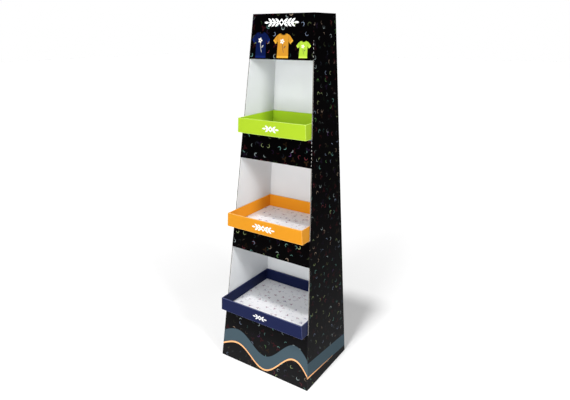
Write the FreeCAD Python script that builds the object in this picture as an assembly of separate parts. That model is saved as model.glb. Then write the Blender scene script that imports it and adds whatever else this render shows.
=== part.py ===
"""Tapered floor display stand of folded corrugated board, with a loose tray in each of its windows.

All lengths are millimetres. +Z is up, the front faces -Y and +X is to the right of someone who faces
the front. The origin is on the floor, at the centre of the space that the stand takes up.

The stand is a four-sided sleeve that narrows towards its top, with an upright back. Three windows in its
front leave a header, two bands and a base band. A plinth folded from board stands in the base, and a
folded shelf is glued in behind each band. Each of the three carries a tray whose walls are rolled over to
two plies, and a pad lies on the floor of each tray.
"""

import FreeCAD, Part
import math
import os

# Outer form of the sleeve, over the board
stand_height = 1700.0
base_width = 530.0
top_width = 316.0
base_depth = 390.0
top_depth = 188.0

# Front of the sleeve, from the floor up. What is left above the last window is the header
base_band_height = 285.0
window_height = 325.0
band_height = 125.0

# Sleeve, shelves and plinth are cut from the same heavy board
board = 4.0
fold_radius = 3.0
glue_line = 0.2
flap_corner_gap = 1.5

# Flaps of the sleeve. The glued seam's flap is crushed, to half of its board's thickness
bottom_flap_depth = 60.0
bottom_flap_gap = 4.0
top_flap_depth = 45.0
seam_flap_width = 40.0
seam_flap_thickness = 2.0
seam_flap_end_gap = 6.0

# Shelves, with an upright flange on each side and tongues that pass through the back panel
shelf_flange_height = 108.0
tongue_width = 60.0
tongue_spacing = 200.0
tongue_end_clearance = 0.4
tongue_side_clearance = 1.0
tongue_top_clearance = 0.4

# Shelves and trays stop short of the seam flap inside the back panel
rear_clearance = 0.5

# Trays of light board, for the windows from the lowest up
tray_board = 2.0
tray_height = 68.0
tray_overhangs = (45.0, 56.0, 40.0)
tray_side_clearance = 0.8
tray_fold_radius = 1.5
ply_gap = 0.25
corner_flap_length = 75.0
corner_flap_clearance = 0.5
lock_tab_width = 36.0
lock_tab_spacing = 150.0
lock_tab_clearance = 0.3

# Pads that lie loose in the trays
pad_thickness = 3.0
pad_clearance = 1.0

# Names of the pieces at each level, from the lowest up
shelf_names = ("base_plinth", "middle_shelf", "top_shelf")
tray_names = ("bottom_tray", "middle_tray", "top_tray")
pad_names = ("bottom_tray_pad", "middle_tray_pad", "top_tray_pad")

# Cutting shapes run past the faces that they cut by this much
overrun = 10.0

# Two lengths closer than this are the same
tolerance = 0.0001

# The sides and the front lean, so their level thickness is a little more than the board's
side_lean = math.atan((base_width - top_width) / 2 / stand_height)
front_lean = math.atan((base_depth - top_depth) / stand_height)
side_wall = board / math.cos(side_lean)
front_wall = board / math.cos(front_lean)

# Tops of the plinth and the shelves, and upper edges of the windows above them
levels = [base_band_height + (window_height + band_height) * i for i in range(len(shelf_names))]
window_tops = [level + window_height for level in levels]

# What stands inside the back panel clears the seam flap
rear_inset = board + seam_flap_thickness + rear_clearance

# Level thickness of a tray's rolled walls. The end walls also hold the corner flaps between their plies
end_pocket = ply_gap + tray_board + ply_gap
side_roll = tray_board + ply_gap + tray_board
end_roll = tray_board + end_pocket + tray_board


def half_width(z):
    """Half the sleeve's outer width at height z."""
    return (base_width + (top_width - base_width) * z / stand_height) / 2


def depth(z):
    """The sleeve's outer depth at height z."""
    return base_depth + (top_depth - base_depth) * z / stand_height


# The foot of the sleeve or the foremost tray sets how far the stand reaches, and so its middle
tray_reaches = [depth(level) + overhang for level, overhang in zip(levels, tray_overhangs)]
rear_y = max(base_depth, *tray_reaches) / 2


def front_y(z):
    """Y of the sleeve's outer front face at height z."""
    return rear_y - depth(z)


def block(low, high, half, front, rear):
    """Solid between two heights with four flat sides: half its width, its front and its rear are
    functions of the height."""
    bottom, top = [
        [
            FreeCAD.Vector(-half(z), front(z), z),
            FreeCAD.Vector(half(z), front(z), z),
            FreeCAD.Vector(half(z), rear(z), z),
            FreeCAD.Vector(-half(z), rear(z), z),
        ]
        for z in (low, high)
    ]
    outlines = [bottom[::-1], top]
    for i in range(len(bottom)):
        outlines.append([bottom[i - 1], bottom[i], top[i], top[i - 1]])
    faces = [Part.Face(Part.makePolygon(corners + corners[:1])) for corners in outlines]
    return Part.makeSolid(Part.makeShell(faces))


def sleeve_block(low, high, side=0.0, front=0.0, rear=0.0):
    """Solid that follows the sleeve's outer faces, set in from them by level distances."""
    return block(
        low,
        high,
        lambda z: half_width(z) - side,
        lambda z: front_y(z) + front,
        lambda z: rear_y - rear,
    )


def tray_block(i, low, high, side=0.0, end=0.0):
    """Solid that follows the outside of tray number i, set in from it by level distances."""
    front = front_y(levels[i]) - tray_overhangs[i]
    return block(
        low,
        high,
        lambda z: half_width(z) - side_wall - tray_side_clearance - side,
        lambda z: front + end,
        lambda z: rear_y - rear_inset - end,
    )


def box(x_low, x_high, y_low, y_high, z_low, z_high):
    """Upright box between two corners."""
    size = (x_high - x_low, y_high - y_low, z_high - z_low)
    return Part.makeBox(*size, FreeCAD.Vector(x_low, y_low, z_low))


def same(a, b):
    """Whether two lengths are equal."""
    return abs(a - b) < tolerance


def at_height(z):
    """Test for a level edge at height z."""
    return lambda a, b: same(a.z, z) and same(b.z, z)


def ends_at(y):
    """Test for an edge that reaches back as far as y and no further."""
    return lambda a, b: same(max(a.y, b.y), y)


def climbs(a, b):
    """Test for an edge that isn't level."""
    return not same(a.z, b.z)


def both(first, second):
    """Test for an edge that passes two tests."""
    return lambda a, b: first(a, b) and second(a, b)


def rounded(shape, radius, *tests):
    """The shape with each straight edge that passes any of the tests rounded, as board is at a fold."""
    edges = [
        edge
        for edge in shape.Edges
        if len(edge.Vertexes) == 2 and any(test(*[v.Point for v in edge.Vertexes]) for test in tests)
    ]
    return shape.makeFillet(radius, edges)


def folded(shape, radius, *level_tests):
    """The shape with its climbing edges and the level edges that pass a test rounded as folds. The two
    kinds are rounded apart and cross at the corners, as creases do, with no ball between them."""
    return rounded(shape, radius, climbs).common(rounded(shape, radius, *level_tests))


def corner_posts(low, high, side, front, rear, size):
    """Four square posts in the corners of a sleeve block. They part the flanges that meet there."""
    posts = sleeve_block(low, high, side, front, rear)
    posts = posts.cut(sleeve_block(low, high, side + size, front, rear))
    return posts.cut(sleeve_block(low, high, side, front + size, rear + size))


def sleeve_walls():
    """Back, sides and front, folded from one sheet."""
    header_fold = both(at_height(stand_height), ends_at(front_y(stand_height)))
    outside = folded(sleeve_block(0, stand_height), fold_radius, at_height(0), header_fold)
    return outside.cut(sleeve_block(-overrun, stand_height + overrun, side_wall, front_wall, board))


def window(low, high):
    """Cuts the front away between the side panels, and the folds off the panels' bare edges."""
    front = block(low, high, half_width, lambda z: front_y(z) - overrun, lambda z: front_y(z) + fold_radius)
    rear = block(
        low,
        high,
        lambda z: half_width(z) - side_wall,
        lambda z: front_y(z) - overrun,
        lambda z: front_y(z) + front_wall + overrun,
    )
    return front.fuse(rear)


def bottom_flaps():
    """Four flaps turned in flat on the floor, with a mitred gap where two of them meet."""
    inner = board + bottom_flap_depth
    flaps = sleeve_block(0, board, side_wall, front_wall, board)
    flaps = flaps.cut(sleeve_block(-overrun, board + overrun, inner, inner, inner))
    half_gap = bottom_flap_gap / 2
    for side in (-1, 1):
        for y, turn in ((front_y(0), -45), (rear_y, 45)):
            slit = box(-2 * inner, 2 * inner, -half_gap, half_gap, -overrun, board + overrun)
            slit.rotate(FreeCAD.Vector(0, 0, 0), FreeCAD.Vector(0, 0, 1), side * turn)
            slit.translate(FreeCAD.Vector(side * half_width(0), y, 0))
            flaps = flaps.cut(slit)
    return flaps


def top_panel():
    """Panel folded back from the header, with flaps glued down inside the sides and the back."""
    low = stand_height - top_flap_depth
    ceiling = stand_height - board
    glued_folds = both(at_height(stand_height), ends_at(rear_y - board))
    cap = rounded(sleeve_block(low, stand_height, side_wall, front_wall, board), fold_radius, glued_folds)
    cap = cap.cut(sleeve_block(low - overrun, ceiling, side_wall + board, front_wall, 2 * board))
    gap = board + flap_corner_gap
    return cap.cut(corner_posts(low - overrun, ceiling, side_wall, front_wall, board, gap))


def seam_flap():
    """Crushed flap of the right side panel, glued inside the back panel."""
    low = board + seam_flap_end_gap
    high = stand_height - top_flap_depth - seam_flap_end_gap
    inner = side_wall + seam_flap_width
    strips = block(
        low,
        high,
        lambda z: half_width(z) - side_wall,
        lambda z: rear_y - board - seam_flap_thickness,
        lambda z: rear_y - board,
    )
    strips = strips.cut(sleeve_block(low, high, inner))
    return max(strips.Solids, key=lambda strip: strip.CenterOfMass.x)


def tongues(level, y_low, y_high, side=0.0, below=0.0, above=0.0):
    """Boxes where a shelf's tongues run, widened by clearances at their sides, below and above."""
    half = tongue_width / 2 + side
    return [
        box(x - half, x + half, y_low, y_high, level - board - below, level + above)
        for x in (-tongue_spacing / 2, tongue_spacing / 2)
    ]


def sleeve():
    """The folded sleeve with its windows, flaps, glued seam and tongue slots."""
    shape = sleeve_walls()
    for low, high in zip(levels, window_tops):
        shape = shape.cut(window(low, high))
    shape = shape.fuse([bottom_flaps(), top_panel(), seam_flap()])
    for level in levels[1:]:
        slots = tongues(
            level,
            rear_y - board - overrun,
            rear_y + overrun,
            side=tongue_side_clearance,
            above=tongue_top_clearance,
        )
        shape = shape.cut(slots)
    return shape.removeSplitter()


def folded_shelf(level, flange_height):
    """Shelf panel with a flange folded down on each side, parted at the corners."""
    low = level - flange_height
    side = side_wall + glue_line
    front = front_wall + glue_line
    shape = rounded(sleeve_block(low, level, side, front, rear_inset), fold_radius, at_height(level))
    hollow = sleeve_block(
        low - overrun, level - board, side + side_wall, front + front_wall, rear_inset + board
    )
    gap = board + flap_corner_gap
    posts = corner_posts(low - overrun, level - board, side, front, rear_inset, gap)
    return shape.cut([hollow, posts])


def tongued_shelf(level):
    """Folded shelf whose tongues are cut free of the rear flange and reach through the back panel."""
    shape = folded_shelf(level, shelf_flange_height)
    root = rear_y - rear_inset - board
    tip = rear_y - tongue_end_clearance
    length = tip - root
    notches = tongues(level, root, rear_y, side=flap_corner_gap, below=length - board)
    shape = shape.cut(notches)
    return shape.fuse(tongues(level, root - board, tip)).removeSplitter()


def inner_rim(i, z):
    """Test for the upper inner edges of a tray's rolled walls."""
    opening = tray_block(i, z - overrun, z, side_roll, end_roll).BoundBox
    opening.enlarge(tolerance)
    return lambda a, b: at_height(z)(a, b) and opening.isInside(a) and opening.isInside(b)


def lock_tabs(i, room=0.0):
    """Tabs on the lower edges of a tray's inner plies, which seat in slots in its floor.

    With room they are the slots, larger by that clearance all round.
    """
    low = levels[i]
    high = low + tray_board + ply_gap
    outer = tray_block(i, low, high, side_roll - tray_board - room, end_roll - tray_board - room)
    ring = outer.cut(tray_block(i, low, high, side_roll + room, end_roll + room))
    reach = base_width + base_depth
    half = lock_tab_width / 2 + room
    middle = outer.CenterOfMass.y
    bands = [box(-reach, reach, middle - half, middle + half, low, high)]
    for x in (-lock_tab_spacing / 2, lock_tab_spacing / 2):
        bands.append(box(x - half, x + half, -reach, reach, low, high))
    return [ring.common(band) for band in bands]


def corner_flaps(i, low, high):
    """Flaps at the ends of a tray's side walls, folded in between the plies of its end walls."""
    flaps = tray_block(i, low, high, tray_board, tray_board + ply_gap)
    flaps = flaps.cut(tray_block(i, low, high, tray_board, tray_board + ply_gap + tray_board))
    return flaps.cut(tray_block(i, low, high, corner_flap_length, 0))


def tray(i):
    """Tray number i, with its side walls parallel to the sleeve's and all its walls rolled over."""
    low = levels[i]
    floor = low + tray_board
    rim = low + tray_height
    fold = rim - tray_board
    shape = folded(tray_block(i, low, rim), tray_fold_radius, at_height(low), at_height(rim))
    shape = shape.cut(tray_block(i, floor, rim + overrun, side_roll, end_roll))
    shape = rounded(shape, tray_fold_radius, inner_rim(i, rim))

    # The plies are parted below the rim's fold, and the inner ones end just above the floor
    side_gaps = tray_block(i, floor, fold, tray_board, end_roll)
    side_gaps = side_gaps.cut(tray_block(i, floor, fold, tray_board + ply_gap, end_roll))
    end_gaps = tray_block(i, floor, fold, tray_board, tray_board)
    end_gaps = end_gaps.cut(tray_block(i, floor, fold, tray_board, tray_board + end_pocket))
    foot = tray_block(i, floor, floor + ply_gap, tray_board, tray_board)
    shape = shape.cut([side_gaps, end_gaps, foot, *lock_tabs(i, lock_tab_clearance)])

    flaps = corner_flaps(i, floor + corner_flap_clearance, fold - corner_flap_clearance)
    return shape.fuse([flaps, *lock_tabs(i)]).removeSplitter()


def pad(i):
    """Flat pad that covers the floor of tray number i."""
    low = levels[i] + tray_board
    high = low + pad_thickness
    room = tray_block(i, low, high, side_roll + pad_clearance, end_roll + pad_clearance).BoundBox
    half = room.XMax - (half_width(low) - half_width(high))
    return box(-half, half, room.YMin, room.YMax, low, high)


def pieces():
    """Every piece of the stand under its name."""
    made = {"sleeve": sleeve(), shelf_names[0]: folded_shelf(levels[0], levels[0] - board)}
    for name, level in zip(shelf_names[1:], levels[1:]):
        made[name] = tongued_shelf(level)
    for i in range(len(levels)):
        made[tray_names[i]] = tray(i)
        made[pad_names[i]] = pad(i)
    return made


os.makedirs("parts", exist_ok=True)
for name, shape in pieces().items():
    shape.exportStep(f"parts/{name}.step")
    extent = shape.BoundBox
    print(
        f"{name}: {len(shape.Solids)} solid, valid {shape.isValid()}, {shape.Volume / 1000:.1f} cm3,"
        f" {extent.XLength:.1f} x {extent.YLength:.1f} x {extent.ZLength:.1f} mm"
    )
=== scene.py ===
"""Tapered cardboard floor display: the finish of its printed board, trays and pads, and the studio.

Every length on the stand is in millimetres, as on the printer's artwork. The camera, the floor and the
lights are in metres. The print is worked out from each point's place on the stand, so that it stays on
the board.
"""

import math

import bpy
import numpy as np
from mathutils import Matrix, Vector


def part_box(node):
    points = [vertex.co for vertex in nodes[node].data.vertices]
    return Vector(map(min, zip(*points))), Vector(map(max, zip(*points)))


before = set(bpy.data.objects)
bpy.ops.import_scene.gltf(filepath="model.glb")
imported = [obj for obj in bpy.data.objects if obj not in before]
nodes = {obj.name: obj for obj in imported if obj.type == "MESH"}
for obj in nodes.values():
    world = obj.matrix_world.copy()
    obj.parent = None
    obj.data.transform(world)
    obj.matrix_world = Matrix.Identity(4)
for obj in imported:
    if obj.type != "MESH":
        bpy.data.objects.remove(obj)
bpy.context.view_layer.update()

# The photograph's viewpoint
# A person stands to the right of the stand's front, a little over two metres away, and looks down on it.
# The camera's place and turn are fitted to the stand's corners, bands and trays.
camera_place = Vector((1.25747, -1.84389, 1.62342))
camera_yaw = 0.59235
camera_pitch = -0.32885
camera_roll = -0.0054
sensor_width = 36.0
focal_length_pixels = 491.958
frame_width_pixels = 570

camera_data = bpy.data.cameras.new("viewpoint")
camera_data.sensor_width = sensor_width
camera_data.lens = sensor_width * focal_length_pixels / frame_width_pixels
camera = bpy.data.objects.new("viewpoint", camera_data)
turn = Matrix.Rotation(camera_yaw, 4, "Z") @ Matrix.Rotation(math.pi / 2 + camera_pitch, 4, "X")
camera.matrix_world = Matrix.Translation(camera_place) @ turn @ Matrix.Rotation(camera_roll, 4, "Z")
bpy.context.scene.collection.objects.link(camera)
bpy.context.scene.camera = camera

# The sleeve
# One sheet of 4 mm corrugated board with upright flutes, printed black outside and lined white inside. It
# is folded to a four-sided tower and glued at a rear corner. The bare cut edges show the fluted core.
stand_height = 1700.0
foot_half_width = 265.0
top_half_width = 158.0
foot_depth = 390.0
top_depth = 188.0
side_taper = (foot_half_width - top_half_width) / stand_height
front_taper = (foot_depth - top_depth) / stand_height
board = 4.0
fold = 3.0
flute_pitch = 7.9
liner = 0.35
rear_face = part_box("sleeve")[1].y * 1000

# Inks and papers. Towards the foot, below a set height, the black is painted paler: a painted reflection of
# the white floor, strongest on the sides
black_ink = (0.0009, 0.0007, 0.0009, 1)
floor_reflection_ink = (0.021, 0.021, 0.022, 1)
floor_reflection_height = 1080.0
floor_reflection_on_front = 0.62
shade_ink = (0, 0, 0, 1)
white_liner = (0.78, 0.79, 0.79, 1)
bare_paper = (0.62, 0.60, 0.56, 1)
flute_shadow = (0.09, 0.085, 0.08, 1)


class Reading:
    """A number that varies over a surface. Arithmetic on readings adds the Math nodes that work it out."""

    def __init__(self, tree, socket):
        self.tree = tree
        self.socket = socket

    def __add__(self, other):
        return worked(self.tree, "ADD", self, other)

    def __sub__(self, other):
        return worked(self.tree, "SUBTRACT", self, other)

    def __rsub__(self, other):
        return worked(self.tree, "SUBTRACT", other, self)

    def __mul__(self, other):
        return worked(self.tree, "MULTIPLY", self, other)

    def __truediv__(self, other):
        return worked(self.tree, "DIVIDE", self, other)

    def __abs__(self):
        return worked(self.tree, "ABSOLUTE", self)

    def __and__(self, other):
        return worked(self.tree, "MINIMUM", self, other)

    def __or__(self, other):
        return worked(self.tree, "MAXIMUM", self, other)

    def __lt__(self, other):
        return worked(self.tree, "LESS_THAN", self, other)

    def __gt__(self, other):
        return worked(self.tree, "GREATER_THAN", self, other)

    def near(self, other, reach):
        """1 where the reading is within reach of the other value, and 0 elsewhere."""
        return worked(self.tree, "COMPARE", self, other, reach)

    def squared(self):
        return self * self

    def sine(self):
        return worked(self.tree, "SINE", self)


def worked(tree, operation, *values):
    """Adds one Math node with these readings or numbers as its inputs, and gives its result."""
    node = tree.nodes.new("ShaderNodeMath")
    node.operation = operation
    for socket, value in zip(node.inputs, values):
        feed(tree, socket, value)
    return Reading(tree, node.outputs[0])


def feed(tree, socket, value):
    """Gives a socket a reading, another node's socket or a fixed value."""
    if isinstance(value, Reading):
        value = value.socket
    if isinstance(value, bpy.types.NodeSocket):
        tree.links.new(value, socket)
    else:
        socket.default_value = value


def blended(tree, share, under, over):
    """The colour or number under, covered by over as far as share says."""
    node = tree.nodes.new("ShaderNodeMix")
    node.data_type = "RGBA"
    feed(tree, node.inputs["Factor"], share)
    feed(tree, node.inputs["A"], under)
    feed(tree, node.inputs["B"], over)
    return node.outputs["Result"]


def placed(tree, group, **values):
    """Places a node group and sets its inputs, whose names are written with _ for a space."""
    node = tree.nodes.new("ShaderNodeGroup")
    node.node_tree = group
    for name, value in values.items():
        feed(tree, node.inputs[name.replace("_", " ")], value)
    return node


def readings(node, *names):
    """The named outputs of a node as readings."""
    return [Reading(node.id_data, node.outputs[name]) for name in names]


def new_group(name, inputs, outputs):
    """Starts a node group. Inputs give each number's default, and outputs each socket's kind."""
    tree = bpy.data.node_groups.new(name, "ShaderNodeTree")
    for title, default in inputs.items():
        socket = tree.interface.new_socket(title, in_out="INPUT", socket_type="NodeSocketFloat")
        socket.default_value = default
    for title, kind in outputs.items():
        tree.interface.new_socket(title, in_out="OUTPUT", socket_type=kind)
    return tree, tree.nodes.new("NodeGroupInput"), tree.nodes.new("NodeGroupOutput")


def object_place(tree):
    """X, Y and Z of a point on the piece, in millimetres."""
    coordinates = tree.nodes.new("ShaderNodeTexCoord")
    scaled = tree.nodes.new("ShaderNodeVectorMath")
    scaled.operation = "SCALE"
    scaled.inputs["Scale"].default_value = 1000
    parts = tree.nodes.new("ShaderNodeSeparateXYZ")
    tree.links.new(coordinates.outputs["Object"], scaled.inputs[0])
    tree.links.new(scaled.outputs["Vector"], parts.inputs[0])
    return readings(parts, "X", "Y", "Z")


def flat_vector(tree, x, y, z=0.0):
    """A vector from three readings or numbers."""
    node = tree.nodes.new("ShaderNodeCombineXYZ")
    for socket, value in zip(node.inputs, (x, y, z)):
        feed(tree, socket, value)
    return node.outputs[0]


def noise(tree, vector, scale, detail=2.0):
    """Soft noise from 0 to 1 over a vector."""
    node = tree.nodes.new("ShaderNodeTexNoise")
    node.inputs["Scale"].default_value = scale
    node.inputs["Detail"].default_value = detail
    tree.links.new(vector, node.inputs["Vector"])
    return Reading(tree, node.outputs["Fac"])


def sleeve_side_depth(x, z):
    """How far a place lies inside the outer face of its side panel, for readings and arrays alike."""
    return foot_half_width - z * side_taper - abs(x)


def sleeve_front_face(z):
    """Y of the outer front face at a height, for readings and arrays alike."""
    return z * front_taper + (rear_face - foot_depth)


# The prints of the left side, right side, front and rear lie this far apart, so that no two are alike
side_print_shift = 2000
rear_print_shift = 5000
front_print_reach = 1000


def stand_faces_group():
    """Where a point lies on the tower: its depth under the side, front and rear faces, and how far along
    the face it is, level and up.

    The sides' distance from the middle, and the front's from the rear, shrink evenly with the height.
    Print up is the height, and on the level faces it runs on with the distance from the front fold.
    """
    outputs = ("Along", "Up", "Print up", "Side depth", "Front depth", "Rear depth", "On side")
    tree, _, out = new_group("stand faces", {}, dict.fromkeys(outputs, "NodeSocketFloat"))
    x, y, z = object_place(tree)
    normal = tree.nodes.new("ShaderNodeNewGeometry")
    facing = tree.nodes.new("ShaderNodeSeparateXYZ")
    tree.links.new(normal.outputs["True Normal"], facing.inputs[0])
    facing_x, facing_y, facing_z = readings(facing, "X", "Y", "Z")
    on_side = abs(facing_x) > 0.5
    on_level = abs(facing_z) > 0.7
    along_side = y + worked(tree, "SIGN", x) * side_print_shift
    along_front = x + (facing_y > 0.5) * rear_print_shift
    along = along_front + on_side * (along_side - along_front)
    front_depth = y - sleeve_front_face(z)
    outwards = worked(tree, "SIGN", z - stand_height / 2)
    print_up = z + on_level * front_depth * outwards
    found = (along, z, print_up, sleeve_side_depth(x, z), front_depth, rear_face - y, on_side)
    for name, value in zip(outputs, found):
        feed(tree, out.inputs[name], value)
    return tree


def board_relief_group():
    """Normal of corrugated board's face: its liner sinks a little between the flutes, evenly along
    Across, and the paper has a fine grain."""
    relief_metres = 0.00012
    flute_share = 0.5
    grain_share = 0.35
    tree, given, out = new_group(
        "board relief", {"Across": 0, "Pitch": flute_pitch, "Strength": 0.3}, {"Normal": "NodeSocketVector"}
    )
    across, pitch, strength = readings(given, "Across", "Pitch", "Strength")
    wave = (across / pitch * math.tau).sine()
    x, y, z = object_place(tree)
    grain = noise(tree, flat_vector(tree, x, y, z), 1.6, 3)
    bump = tree.nodes.new("ShaderNodeBump")
    bump.inputs["Distance"].default_value = relief_metres
    feed(tree, bump.inputs["Strength"], strength)
    feed(tree, bump.inputs["Height"], wave * flute_share + grain * grain_share)
    feed(tree, out.inputs["Normal"], bump.outputs["Normal"])
    return tree


# Where each of the strokes' inks begins, from 0 to 1, and the inks of the pinwheels
stroke_inks = (
    (0.0, (0.38, 0.46, 0.46)),
    (0.24, (0.16, 0.35, 0.31)),
    (0.40, (0.36, 0.44, 0.20)),
    (0.53, (0.24, 0.30, 0.42)),
    (0.64, (0.40, 0.30, 0.22)),
    (0.76, (0.17, 0.035, 0.045)),
    (0.87, (0.15, 0.34, 0.12)),
    (0.94, (0.12, 0.055, 0.18)),
)
wine_ink = (0.055, 0.009, 0.013, 1)
violet_ink = (0.022, 0.012, 0.034, 1)
brown_ink = (0.04, 0.021, 0.009, 1)
violet_from = 0.62
brown_from = 0.82


def confetti_group():
    """Short bent strokes strewn over a face, one in each cell of a jittered lattice.

    In its cell a stroke is turned by a chance angle. A hook is the part of a ring that lies on one side of
    a line, thickest in its middle. A tick is where the level distance is near six tenths of the upright
    one. Chance numbers give the stroke's kind, tint and strength. Larger three-bladed pinwheels lie under
    them, where a point's distance from its cell's middle is less than a radius that swells three times
    round. Wheel gain makes their inks that many times paler. Lengths are shares of a cell.
    """
    stroke_cell = 1.0
    wheel_cell = 1.6
    layer_shift = 31.7
    jitter = 0.68
    ring_radius = 0.19
    ring_half_width = 0.020
    ring_swell = 0.10
    ring_end = -0.07
    tick_slope = 0.6
    tick_point = 0.03
    tick_half_width = 0.034
    tick_reach = 0.19
    tick_share = 0.36
    faint_strength = 0.34
    added_strength = 0.5
    wheel_blades = 3
    wheel_radius = 0.125
    wheel_swell = 0.085
    wheel_strength_share = 0.5
    bare_cells = 0.2
    tree, given, out = new_group(
        "confetti",
        {"Along": 0, "Up": 0, "Spacing": 45, "Wheel gain": 1},
        {"Mark": "NodeSocketFloat", "Tint": "NodeSocketColor"},
    )
    along, up, spacing, wheel_gain = readings(given, "Along", "Up", "Spacing", "Wheel gain")
    layers = []
    for cell, shift in ((stroke_cell, 0.0), (wheel_cell, layer_shift)):
        lattice = tree.nodes.new("ShaderNodeTexVoronoi")
        lattice.voronoi_dimensions = "2D"
        lattice.inputs["Scale"].default_value = 1
        lattice.inputs["Randomness"].default_value = jitter
        place = flat_vector(tree, along / spacing / cell + shift, up / spacing / cell + shift)
        tree.links.new(place, lattice.inputs["Vector"])
        offset = tree.nodes.new("ShaderNodeVectorMath")
        offset.operation = "SUBTRACT"
        tree.links.new(place, offset.inputs[0])
        tree.links.new(lattice.outputs["Position"], offset.inputs[1])
        chances = tree.nodes.new("ShaderNodeSeparateColor")
        tree.links.new(lattice.outputs["Color"], chances.inputs[0])
        chance_turn, chance_tint, chance_strength = readings(chances, "Red", "Green", "Blue")
        turned = tree.nodes.new("ShaderNodeVectorRotate")
        turned.rotation_type = "Z_AXIS"
        tree.links.new(offset.outputs[0], turned.inputs["Vector"])
        feed(tree, turned.inputs["Angle"], chance_turn * math.tau)
        parts = tree.nodes.new("ShaderNodeSeparateXYZ")
        tree.links.new(turned.outputs[0], parts.inputs[0])
        layers.append((readings(parts, "X", "Y"), chance_tint, chance_strength))

    # The tint's chance number, spread out seven times, also chooses between a hook and a tick
    (x, y), tint, strength = layers[0]
    distance = worked(tree, "SQRT", x.squared() + y.squared())
    hook = (abs(distance - ring_radius) < x * ring_swell + ring_half_width) & (x > ring_end)
    tick = (abs(x - abs(y) * tick_slope + tick_point) < tick_half_width) & (abs(y) < tick_reach)
    is_tick = worked(tree, "FRACT", tint * 7) < tick_share
    stroke = hook + is_tick * (tick - hook)
    bright = strength > 0.5
    stroke = stroke * (strength * (bright * added_strength + faint_strength))

    (x, y), wheel_tint, wheel_strength = layers[1]
    distance = worked(tree, "SQRT", x.squared() + y.squared())
    swell = worked(tree, "COSINE", worked(tree, "ARCTAN2", y, x) * wheel_blades)
    wheel = (distance < swell * wheel_swell + wheel_radius) & (wheel_strength > bare_cells)

    tints = tree.nodes.new("ShaderNodeValToRGB")
    tints.color_ramp.interpolation = "CONSTANT"
    while len(tints.color_ramp.elements) < len(stroke_inks):
        tints.color_ramp.elements.new(0.5)
    for element, (position, colour) in zip(tints.color_ramp.elements, stroke_inks):
        element.position = position
        element.color = (*colour, 1)
    feed(tree, tints.inputs["Fac"], tint)
    wheel_colour = blended(tree, wheel_tint > violet_from, wine_ink, violet_ink)
    wheel_colour = blended(tree, wheel_tint > brown_from, wheel_colour, brown_ink)
    paler = tree.nodes.new("ShaderNodeVectorMath")
    paler.operation = "SCALE"
    feed(tree, paler.inputs[0], wheel_colour)
    feed(tree, paler.inputs["Scale"], wheel_gain)
    feed(tree, out.inputs["Mark"], stroke | wheel * (wheel_strength * wheel_strength_share))
    feed(tree, out.inputs["Tint"], blended(tree, stroke > 0.02, paler.outputs[0], tints.outputs["Color"]))
    return tree


def sprig_group():
    """A laurel sprig, even about its middle: a lozenge, pairs of leaves that point outwards along a stem,
    and a last leaf in line with it.

    The distance from the middle is folded into the steps of the leaves. Turned to its own axis, a leaf is
    where the distance from the axis is less than a parabola over its length, which is a step and a half.
    So each place asks for the leaf of its own step and for the one before it. Lengths are shares of a step.
    """
    stem_start = 0.55
    stem_half_width = 0.09
    leaf_slope = math.radians(37)
    leaf_half_length = 0.75
    leaf_half_width = 0.25
    last_half_length = 0.62
    last_half_width = 0.24
    lozenge_inside = 0.42
    lozenge_outside = 0.85
    lozenge_clear = 1.02
    tree, given, out = new_group(
        "sprig", {"Along": 0, "Up": 0, "Pairs": 4, "Step": 18}, {"Mask": "NodeSocketFloat"}
    )
    along, up, pairs, step = readings(given, "Along", "Up", "Pairs", "Step")
    outwards = abs(along) / step - stem_start
    upwards = abs(up) / step
    mask = (upwards < stem_half_width) & (outwards < pairs)
    for earlier in (0.0, 1.0):
        x = worked(tree, "FRACT", outwards) + earlier
        on_axis = x * math.cos(leaf_slope) + upwards * math.sin(leaf_slope)
        off_axis = upwards * math.cos(leaf_slope) - x * math.sin(leaf_slope)
        half_width = leaf_half_width - (on_axis / leaf_half_length - 1).squared() * leaf_half_width
        mask = mask | ((abs(off_axis) < half_width) & (outwards > earlier) & (outwards < pairs + earlier))
    from_last = (outwards - pairs) / last_half_length - 1
    last = upwards < last_half_width - from_last.squared() * last_half_width
    lozenge = outwards + stem_start + upwards
    middle = (lozenge < lozenge_outside) & (lozenge > lozenge_inside)
    mask = ((mask | last) & (lozenge > lozenge_clear)) | middle
    feed(tree, out.inputs["Mask"], mask)
    return tree


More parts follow.
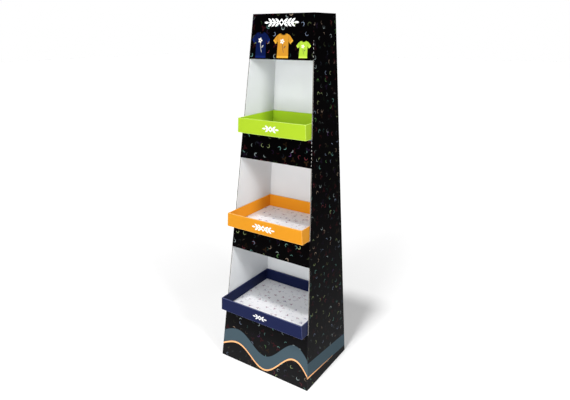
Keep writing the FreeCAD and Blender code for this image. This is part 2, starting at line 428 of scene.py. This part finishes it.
def shirt_group():
    """Outline of a plain short-sleeved shirt, even about its middle, with its seams and hems and a flower
    on a stalk with one leaf printed on its chest.

    The shoulders fall with the square of the distance from the collar. Straight lines bound the cuff, the
    underarm and the body, and an ellipse cuts out the neck. The width and the height each count as 1. The
    flower's edge swells five times round, its stalk is a parabola, and its leaf is a lens on a slant.
    """
    collar_x = 0.11
    shoulder_fall = 2.0
    body_half_width = 0.285
    body_taper = 0.03
    cuff_x = 0.36
    cuff_z = 0.56
    cuff_slope = 1.143
    underarm_x = 0.27
    underarm_z = 0.68
    underarm_slope = 1.11
    neck_half_width = 0.105
    neck_depth = 0.055
    hem_height = 0.09
    flower_petals = 5
    flower_radius = 0.088
    flower_swell = 0.024
    flower_eye = 0.026
    leaf_x = 0.085
    leaf_z = 0.45
    tree, given, out = new_group(
        "shirt",
        {"Along": 0, "Up": 0, "Width": 100, "Height": 100},
        dict.fromkeys(("Mask", "Seam", "Hem", "Flower", "Stalk"), "NodeSocketFloat"),
    )
    along, up, width, height = readings(given, "Along", "Up", "Width", "Height")
    across = along / width
    x = abs(across)
    z = up / height
    shoulder = 1.0 - worked(tree, "MAXIMUM", x - collar_x, 0.0).squared() * shoulder_fall
    body = x < body_half_width - z * body_taper
    above_cuff = z - (x - cuff_x) * cuff_slope - cuff_z
    underarm = z > underarm_z - (x - underarm_x) * underarm_slope
    outline = (body | ((above_cuff > 0) & underarm)) & (z < shoulder) & (z > 0.0)
    neck = (x / neck_half_width).squared() + ((z - 1.0) / neck_depth).squared()
    collar_seam = (neck < 2.4) & (z > 0.9)
    sleeve_seam = x.near(0.275, 0.010) & (z > 0.62)
    hem = (z < hem_height) | ((above_cuff < hem_height) & (x > 0.29))
    flower_x = across + 0.045
    flower_z = z - 0.68
    from_flower = worked(tree, "SQRT", flower_x.squared() + flower_z.squared())
    swell = worked(tree, "COSINE", worked(tree, "ARCTAN2", flower_z, flower_x) * flower_petals)
    flower = (from_flower < swell * flower_swell + flower_radius) & (from_flower > flower_eye)
    stalk = ((across + 0.03) - (z - 0.60).squared() * 0.55).near(0.0, 0.014) & z.near(0.41, 0.19)
    leaf_length = (across - leaf_x) + (z - leaf_z)
    leaf_width = (across - leaf_x) - (z - leaf_z)
    leaf = abs(leaf_width) < 0.045 - leaf_length.squared() * 3.6
    feed(tree, out.inputs["Mask"], outline & (neck > 1))
    feed(tree, out.inputs["Seam"], collar_seam | sleeve_seam)
    feed(tree, out.inputs["Hem"], hem)
    feed(tree, out.inputs["Flower"], flower)
    feed(tree, out.inputs["Stalk"], stalk | leaf)
    return tree


def new_material(name, specular, roughness=0.5):
    """A material whose shader has these fixed values. Roughness is left out where it varies."""
    material = bpy.data.materials.new(name)
    material.use_nodes = True
    tree = material.node_tree
    shader = tree.nodes["Principled BSDF"]
    shader.inputs["Roughness"].default_value = roughness
    shader.inputs["Specular IOR Level"].default_value = specular
    return material, tree, shader


stand_faces = stand_faces_group()
board_relief = board_relief_group()
confetti = confetti_group()
sprig = sprig_group()
shirt = shirt_group()

# Artwork on the header: a sprig, and three shirts. Each has its middle, foot, width and height, and the
# inks of its cloth, its hems and its stalk
sprig_up = 1663.0
sprig_middle = -2.0
sprig_pairs = 3
sprig_step = 18.6
shirts = (
    (-106.0, 1515.0, 99.0, 109.0, (0.003, 0.007, 0.045), (0.005, 0.012, 0.085), (0.42, 0.42, 0.38)),
    (12.0, 1517.0, 104.0, 101.0, (0.44, 0.20, 0.02), (0.58, 0.30, 0.03), (0.06, 0.045, 0.04)),
    (117.0, 1519.0, 74.0, 69.0, (0.30, 0.46, 0.035), (0.42, 0.60, 0.06), (0.05, 0.06, 0.04)),
)
flower_ink = (0.74, 0.70, 0.62, 1)
flower_cover = 0.9
stalk_cover = 0.8
seam_shade = 0.45

# Ribbon round the foot: it waves across the front, and falls a little towards the rear
ribbon_ink = (0.052, 0.080, 0.098, 1)
piping_ink = (0.80, 0.42, 0.19, 1)
ribbon_half_height = 35.0
ribbon_corner_up = 105.0
ribbon_rear_up = 66.0
piping_height = 9.0
piping_length = 260.0

# Perforations at the front folds, from the upper band up, and beside the two upper windows
nick_pitch = 16.2
nick_share = 0.42
nick_width = 1.7
nick_heights = (1060.0, 1590.0)
window_heights = ((803.0, 1060.0), (1253.0, 1510.0))
nick_paper = (0.30, 0.30, 0.29, 1)

# Confetti on the black, fainter off the front, and the worn folds at the corners
confetti_spacing = 40
front_mark = 0.78
side_mark = 0.58
worn_fold = 1.4
crack_ink = (0.10, 0.10, 0.10, 1)


def ribbon_middle(along, on_side, front_depth):
    """Height of the ribbon's middle. On the front it is a wave of one and a half turns that grows from
    left to right. On the sides and the rear it falls evenly with the distance from the front."""
    across = along / (2 * foot_half_width) + 0.5
    on_front = (across * (3 * math.pi)).sine() * (across * 50 + 26) + ribbon_corner_up
    behind = (front_depth | 0.0) * ((ribbon_rear_up - ribbon_corner_up) / foot_depth) + ribbon_corner_up
    return on_front + on_side * (behind - on_front)


def nicks(tree, up, side_depth, front_depth, on_side):
    """Mask of the nicks in the middle of the front folds, and of those at the print's edge beside the
    windows."""
    dash = worked(tree, "FRACT", up / nick_pitch) < nick_share
    on_fold = (side_depth < nick_width) & (front_depth < nick_width)
    on_fold = on_fold & (up > nick_heights[0]) & (up < nick_heights[1])
    beside_window = on_side & (front_depth < fold + nick_width / 2)
    in_window = 0.0
    for low, high in window_heights:
        in_window = worked(tree, "MAXIMUM", in_window, (up > low) & (up < high))
    return dash & (on_fold | (beside_window & in_window))


def black_print():
    """The sleeve's outside: black with confetti, the header's artwork and the ribbon round the foot."""
    material, tree, shader = new_material("black print", specular=0.003)
    faces = placed(tree, stand_faces)
    along, up, print_up, side_depth, front_depth, rear_depth, on_side = readings(
        faces, "Along", "Up", "Print up", "Side depth", "Front depth", "Rear depth", "On side"
    )
    on_front = abs(along) < front_print_reach
    off_front = 1 - on_front
    x, y, z = object_place(tree)
    place = flat_vector(tree, x, y, z)

    # The painted reflection of the floor grows with the square of the nearness to the foot, and with its
    # cube on the front
    nearness = (1 - up / floor_reflection_height) | 0.0
    floor_reflection = nearness.squared() * (off_front + on_front * (nearness * floor_reflection_on_front))
    strewn = placed(tree, confetti, Along=along, Up=print_up, Spacing=confetti_spacing)
    mark = Reading(tree, strewn.outputs["Mark"]) * (front_mark - off_front * (front_mark - side_mark))
    # The black is painted paler towards the foot, as a painted reflection of the floor
    colour = blended(tree, floor_reflection, black_ink, floor_reflection_ink)
    colour = blended(tree, mark, colour, strewn.outputs["Tint"])

    # The piping runs under the ribbon, and thins out to nothing along the sides
    above_ribbon = up - ribbon_middle(along, off_front, front_depth)
    band = above_ribbon.near(0.0, ribbon_half_height)
    above_edge = above_ribbon + ribbon_half_height
    thinning = 1 - off_front * (front_depth / piping_length | 0.0)
    piping = (above_edge < 0) & (above_edge > thinning * -piping_height)
    colour = blended(tree, band, colour, ribbon_ink)
    colour = blended(tree, piping, colour, piping_ink)

    for centre, foot, width, height, ink, light_ink, stalk_ink in shirts:
        drawn = placed(tree, shirt, Along=along - centre, Up=up - foot, Width=width, Height=height)
        mask, seam, hem, flower, stalk = readings(drawn, "Mask", "Seam", "Hem", "Flower", "Stalk")
        cloth = blended(tree, hem, (*ink, 1), (*light_ink, 1))
        cloth = blended(tree, seam * seam_shade, cloth, shade_ink)
        cloth = blended(tree, stalk * stalk_cover, cloth, (*stalk_ink, 1))
        cloth = blended(tree, flower * flower_cover, cloth, flower_ink)
        colour = blended(tree, mask & on_front, colour, cloth)
    leaves = placed(
        tree,
        sprig,
        Along=along - sprig_middle,
        Up=up - sprig_up,
        Pairs=sprig_pairs,
        Step=sprig_step,
    )
    colour = blended(tree, Reading(tree, leaves.outputs["Mask"]) & on_front, colour, white_liner)

    crack = noise(tree, place, 0.35, 4) > 0.66
    fold_zone = (side_depth < worn_fold) & ((front_depth < worn_fold) | (rear_depth < worn_fold))
    colour = blended(tree, fold_zone & crack, colour, crack_ink)
    nick = nicks(tree, up, side_depth, front_depth, on_side)
    colour = blended(tree, nick, colour, nick_paper)
    feed(tree, shader.inputs["Base Color"], colour)

    smear = noise(tree, place, 0.02, 4)
    feed(tree, shader.inputs["Roughness"], smear * 0.2 + 0.36)
    relief = placed(tree, board_relief, Across=along, Strength=0.25)
    feed(tree, shader.inputs["Normal"], relief.outputs["Normal"])
    return material


def white_lining():
    """Unprinted white liner: faint cloudiness of the paper, and the flutes just felt through it."""
    dull_liner = (0.715, 0.735, 0.75, 1)
    clear_liner = (0.77, 0.785, 0.795, 1)
    material, tree, shader = new_material("white lining", specular=0.25, roughness=0.62)
    x, y, z = object_place(tree)
    place = flat_vector(tree, x, y, z)
    cloud = noise(tree, place, 0.012, 4)
    speck = noise(tree, place, 0.9, 1) > 0.74
    colour = blended(tree, cloud, dull_liner, clear_liner)
    colour = blended(tree, speck * 0.10, colour, bare_paper)
    feed(tree, shader.inputs["Base Color"], colour)
    faces = placed(tree, stand_faces)
    relief = placed(tree, board_relief, Across=faces.outputs["Along"], Strength=0.35)
    feed(tree, shader.inputs["Normal"], relief.outputs["Normal"])
    return material


def cut_edge_group():
    """Colour of corrugated board's cut edge, from the depth through the board and the way along it.

    Two liners bound the core. Across the flutes the core is a sine wave of paper with hollows beside it.
    Along the flutes it is one shaded channel, with the paper of a flute showing here and there.
    """
    tree, given, out = new_group(
        "cut edge",
        {"Depth": 0, "Along": 0, "Lengthwise": 0, "Board": board, "Pitch": flute_pitch},
        {"Colour": "NodeSocketColor"},
    )
    depth, along, lengthwise, thickness, pitch = readings(
        given, "Depth", "Along", "Lengthwise", "Board", "Pitch"
    )
    wave_share = 0.36
    paper_share = 0.11
    streak_start = 0.16
    middle = thickness / 2
    from_middle = depth - middle
    wave = (along / pitch * math.tau).sine() * (thickness * wave_share)
    on_wave = abs(from_middle - wave) < thickness * paper_share
    streak = noise(tree, flat_vector(tree, depth * 2.0, along / 40), 1.0, 3) > 0.62
    core = on_wave + lengthwise * ((streak & (abs(from_middle) > thickness * streak_start)) - on_wave)
    on_liner = abs(from_middle) > middle - liner
    feed(tree, out.inputs["Colour"], blended(tree, core | on_liner, flute_shadow, bare_paper))
    return tree


def bare_edge():
    """The cut edges of the sleeve, and those of the shelves' flanges and tongues. Upright cuts run along
    the flutes, and level cuts across them."""
    material, tree, shader = new_material("bare edge", specular=0.1, roughness=0.85)
    faces = placed(tree, stand_faces)
    side_depth, front_depth, rear_depth = readings(faces, "Side depth", "Front depth", "Rear depth")
    x, _, z = object_place(tree)
    normal = tree.nodes.new("ShaderNodeNewGeometry")
    facing = tree.nodes.new("ShaderNodeSeparateXYZ")
    tree.links.new(normal.outputs["True Normal"], facing.inputs[0])
    upright_cut = abs(Reading(tree, facing.outputs["Y"])) > 0.6
    level_depth = side_depth & front_depth & rear_depth
    depth = level_depth + upright_cut * (side_depth - level_depth)
    along = x + upright_cut * (z - x)
    edge = placed(tree, cut_edge, Depth=depth, Along=along, Lengthwise=upright_cut)
    feed(tree, shader.inputs["Base Color"], edge.outputs["Colour"])
    return material


def dress(node, materials, choose):
    """Gives a CAD piece its materials. choose is given each face's middle, in millimetres, and its
    direction, as arrays, and answers with the number of each face's material."""
    mesh = nodes[node].data
    middles = np.empty(len(mesh.polygons) * 3)
    mesh.polygons.foreach_get("center", middles)
    normals = np.empty(len(mesh.polygons) * 3)
    mesh.polygons.foreach_get("normal", normals)
    chosen = choose(middles.reshape(-1, 3).T * 1000, normals.reshape(-1, 3).T)
    mesh.materials.clear()
    for material in materials:
        mesh.materials.append(material)
    mesh.polygons.foreach_set("material_index", chosen.astype(np.int32))


def sleeve_materials(middle, normal):
    """0 for the printed outside with its folds, 1 for the lining and 2 for cut edges."""
    skin = 0.3
    slack = 0.1
    x, y, z = middle
    side = sleeve_side_depth(x, z)
    front = y - sleeve_front_face(z)
    rear = rear_face - y
    shallow = np.sort([side, front, rear], axis=0)
    near_fold = fold - slack
    past_wall = board + 0.5
    level_face = abs(normal[2]) > 0.7
    outer = (shallow[0] < skin) & ~level_face
    corner = (shallow[1] < near_fold) & ~level_face
    foot = (z < skin) | ((z < near_fold) & (shallow[0] < near_fold))
    top_fold = (z > stand_height - near_fold) & (front < near_fold)
    lid = (z > stand_height - skin) & (side > past_wall) & (rear > past_wall)
    printed = outer | corner | foot | top_fold | lid
    within = shallow[0] < board + slack
    cut = within & (level_face | (normal[1] < -0.7) & (side < board + slack) & (front > near_fold))
    return np.where(printed, 0, np.where(cut, 2, 1))


cut_edge = cut_edge_group()
sleeve_print = black_print()
lining = white_lining()
edge_paper = bare_edge()
dress("sleeve", (sleeve_print, lining, edge_paper), sleeve_materials)

# The plinth and the two shelves
# Each is folded from white-lined board, with flanges glued to the sleeve's walls. Their lower edges are
# cut across the flutes, and the shelves' tongues end just inside the back panel's outer face.
shelf_nodes = ("base_plinth", "middle_shelf", "top_shelf")
tongue_depth = 0.6


def shelf_materials(middle, normal):
    """0 for the lining and 1 for the flanges' lower edges and the tongues' ends."""
    tongue_end = (rear_face - middle[1] < tongue_depth) & (normal[1] > 0.9)
    lower_edge = (normal[2] < -0.9) & (middle[2] < middle[2].min() + 1)
    return np.where(tongue_end | lower_edge, 1, 0)


for node in shelf_nodes:
    dress(node, (lining, edge_paper), shelf_materials)

# The trays
# Light board printed in one colour each, with the walls rolled inwards so that the print shows on both
# sides. Inside, the colour is painted paler as painted light. The floor under the pad is unprinted. The ink
# breaks a little on the folds, which are also lightened as a painted highlight, and a white laurel sprig
# stands on each front.
tray_board = 2.0
tray_flute_pitch = 3.2
tray_sprig_rise = 32.0
tray_side_gap = 0.82
# Reaches of the lightening at the corner, rim and foot folds, partly cracked ink and partly painted
# highlight
corner_wear_and_highlight = 1.1
rim_wear_and_highlight = 1.4
foot_wear_and_highlight = 1.7


def tray_print(name, tray, ink, painted_light_inside_ink, fold_crack_and_highlight_ink, pairs, step):
    """One colour of printed light board. Inside the tray the colour is painted paler, as painted light, and
    the folds are lightened by cracked ink and a painted highlight.
    """
    material, tree, shader = new_material(name, specular=0.06)
    low, high = (corner * 1000 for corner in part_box(tray))
    x, y, z = object_place(tree)
    place = flat_vector(tree, x, y, z)
    side_depth = sleeve_side_depth(x, z) - (board + tray_side_gap)
    end_depth = (y - low.y) & (high.y - y)
    inside = (side_depth > tray_board) & (end_depth > tray_board)
    cloud = noise(tree, place, 0.01, 3)
    # Painted light: the inside of the tray is painted in a paler ink
    colour = blended(tree, inside, (*ink, 1), (*painted_light_inside_ink, 1))
    colour = blended(tree, cloud * 0.05, colour, shade_ink)

    rim_depth = high.z - z
    foot_rise = z - low.z
    corner_fold = (side_depth < corner_wear_and_highlight) & (end_depth < corner_wear_and_highlight)
    foot_fold = (foot_rise < foot_wear_and_highlight) & ((side_depth < foot_wear_and_highlight) | (end_depth < foot_wear_and_highlight))
    # The folds at the corners, along the rim and at the foot are lightened, partly as cracked ink and
    # partly as a painted highlight
    wear_and_highlight_noise = noise(tree, place, 0.15, 3)
    worn_and_highlit = corner_fold * (wear_and_highlight_noise * 0.9) | (rim_depth < rim_wear_and_highlight) * (wear_and_highlight_noise * 0.6 + 0.12)
    worn_and_highlit = worn_and_highlit | foot_fold * (wear_and_highlight_noise * 0.7 + 0.25)
    colour = blended(tree, worn_and_highlit, colour, (*fold_crack_and_highlight_ink, 1))

    leaves = placed(
        tree,
        sprig,
        Along=x,
        Up=z - (low.z + tray_sprig_rise),
        Pairs=pairs,
        Step=step,
    )
    on_front = y < low.y + 0.2
    colour = blended(tree, Reading(tree, leaves.outputs["Mask"]) & on_front, colour, white_liner)
    feed(tree, shader.inputs["Base Color"], colour)
    feed(tree, shader.inputs["Roughness"], wear_and_highlight_noise * 0.15 + 0.38)
    relief = placed(tree, board_relief, Across=x + y, Pitch=tray_flute_pitch, Strength=0.15)
    feed(tree, shader.inputs["Normal"], relief.outputs["Normal"])
    return material


def tray_materials(middle, normal):
    """0 for the print and 1 for the unprinted floor under the pad."""
    floor = (normal[2] > 0.9) & (middle[2] < middle[2].min() + tray_board + 0.5)
    return np.where(floor, 1, 0)


# Name and node of each tray, its ink outside, its ink inside painted paler as painted light, its ink on the
# folds lightened as a painted highlight, and its sprig's pairs and step
tray_inks = (
    ("navy", "bottom_tray", (0.0066, 0.0108, 0.050), (0.0078, 0.0125, 0.053), (0.14, 0.16, 0.30), 1, 15),
    ("orange", "middle_tray", (0.56, 0.226, 0.0105), (0.88, 0.33, 0.018), (0.95, 0.58, 0.22), 2, 17),
    ("lime", "top_tray", (0.300, 0.445, 0.017), (0.42, 0.66, 0.025), (0.66, 0.84, 0.22), 1, 16),
)
for name, tray, *inks_and_sprig in tray_inks:
    dress(tray, (tray_print(f"{name} print", tray, *inks_and_sprig), lining), tray_materials)

# The pads
# White board cut to each tray's floor, printed with small strokes and pinwheels in greyed colours, with its
# fluted core showing at its edges.
pad_thickness = 3.0
pad_flute_pitch = 6.5
pad_white = (0.81, 0.81, 0.83, 1)
pad_spacing = 26
pad_strength = 2.4
pad_densest = 0.85
pad_wheel_gain = 6
pad_grey = (0.22, 0.21, 0.42, 1)
pad_grey_share = 0.35


def pad_print():
    """White pad with the confetti, small and inked strongly. Each level's pad shows another part of it."""
    material, tree, shader = new_material("pad print", specular=0.25, roughness=0.6)
    x, y, z = object_place(tree)
    strewn = placed(
        tree, confetti, Along=x + z * 7, Up=y, Spacing=pad_spacing, Wheel_gain=pad_wheel_gain
    )
    tint = blended(tree, pad_grey_share, strewn.outputs["Tint"], pad_grey)
    mark = (Reading(tree, strewn.outputs["Mark"]) * pad_strength) & pad_densest
    feed(tree, shader.inputs["Base Color"], blended(tree, mark, pad_white, tint))
    relief = placed(tree, board_relief, Across=x, Pitch=pad_flute_pitch, Strength=0.4)
    feed(tree, shader.inputs["Normal"], relief.outputs["Normal"])
    return material


def pad_edge(pad):
    """The pad's cut edges, with the flutes from front to rear."""
    material, tree, shader = new_material(f"{pad} edge", specular=0.1, roughness=0.85)
    x, y, z = object_place(tree)
    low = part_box(pad)[0].z * 1000
    normal = tree.nodes.new("ShaderNodeNewGeometry")
    facing = tree.nodes.new("ShaderNodeSeparateXYZ")
    tree.links.new(normal.outputs["True Normal"], facing.inputs[0])
    lengthwise = abs(Reading(tree, facing.outputs["X"])) > 0.6
    edge = placed(
        tree,
        cut_edge,
        Depth=z - low,
        Along=x + lengthwise * (y - x),
        Lengthwise=lengthwise,
        Board=pad_thickness,
        Pitch=pad_flute_pitch,
    )
    feed(tree, shader.inputs["Base Color"], edge.outputs["Colour"])
    return material


def pad_materials(middle, normal):
    """0 for the printed faces and 1 for the cut edges."""
    return np.where(abs(normal[2]) > 0.7, 0, 1)


pad_face = pad_print()
for pad in ("bottom_tray_pad", "middle_tray_pad", "top_tray_pad"):
    dress(pad, (pad_face, pad_edge(pad)), pad_materials)

# The studio
# A white floor that runs on out of sight under an even white surround, and glows a little, more so far
# out. The key light is overhead, a little in front. A small softbox stands at the front right, a tall one
# in front, and a third hangs high in front.
bpy.context.scene.view_settings.view_transform = "Standard"
half_floor = 30.0
floor_white = (0.95, 0.95, 0.95, 1)
glow_near = 0.065
glow_added_most = 0.25
glow_start = 0.9
glow_per_metre = 0.15

floor_mesh = bpy.data.meshes.new("studio_floor")
floor_corners = [
    (-half_floor, -half_floor, 0),
    (half_floor, -half_floor, 0),
    (half_floor, half_floor, 0),
    (-half_floor, half_floor, 0),
]
floor_mesh.from_pydata(floor_corners, [], [(0, 1, 2, 3)])
floor = bpy.data.objects.new("studio_floor", floor_mesh)
bpy.context.scene.collection.objects.link(floor)
floor_material, floor_tree, floor_shader = new_material("studio floor", specular=0.0, roughness=0.9)
floor_shader.inputs["Base Color"].default_value = floor_white
floor_x, floor_y, _ = object_place(floor_tree)
floor_metres = worked(floor_tree, "SQRT", floor_x.squared() + floor_y.squared()) / 1000
glow_added = (((floor_metres - glow_start) * glow_per_metre) | 0.0) & glow_added_most
glow = glow_added + glow_near
feed(floor_tree, floor_shader.inputs["Emission Color"], flat_vector(floor_tree, glow, glow, glow))
floor_shader.inputs["Emission Strength"].default_value = 1
floor_mesh.materials.append(floor_material)

# The surround looks white, and lights the stand less than it looks
surround_light = 0.26
surround_look = 1.0
world = bpy.data.worlds.new("studio")
bpy.context.scene.world = world
world.use_nodes = True
surround = world.node_tree
background = surround.nodes["Background"]
seen = surround.nodes.new("ShaderNodeLightPath")
strength = surround.nodes.new("ShaderNodeMix")
feed(surround, strength.inputs["Factor"], seen.outputs["Is Camera Ray"])
feed(surround, strength.inputs["A"], surround_light)
feed(surround, strength.inputs["B"], surround_look)
feed(surround, background.inputs["Color"], (1, 1, 1, 1))
feed(surround, background.inputs["Strength"], strength.outputs["Result"])


def softbox(name, place, target, width, height, power):
    """An oblong area light that faces a point."""
    data = bpy.data.lights.new(name, "AREA")
    data.shape = "RECTANGLE"
    data.size = width
    data.size_y = height
    data.energy = power
    light = bpy.data.objects.new(name, data)
    light.location = place
    light.rotation_euler = (Vector(target) - Vector(place)).to_track_quat("-Z", "Y").to_euler()
    bpy.context.scene.collection.objects.link(light)


softbox("right softbox", (2.32, -0.90, 2.0), (0, 0, 0.95), 0.5, 0.5, 35)
softbox("front softbox", (0.25, -4.0, 1.3), (0, 0, 0.9), 1.7, 2.5, 78)
softbox("upper softbox", (0.2, -3.0, 3.4), (0, 0, 1.0), 1.0, 1.0, 33)

# The overhead key is so far off that it comes from one direction
key_direction = Vector((0.059, 0.320, -1.0))
key_spread = math.radians(6.5)
key_strength = 0.50 * math.pi
key_data = bpy.data.lights.new("overhead key", "SUN")
key_data.angle = key_spread
key_data.energy = key_strength
key = bpy.data.objects.new("overhead key", key_data)
key.rotation_euler = key_direction.to_track_quat("-Z", "Y").to_euler()
bpy.context.scene.collection.objects.link(key)
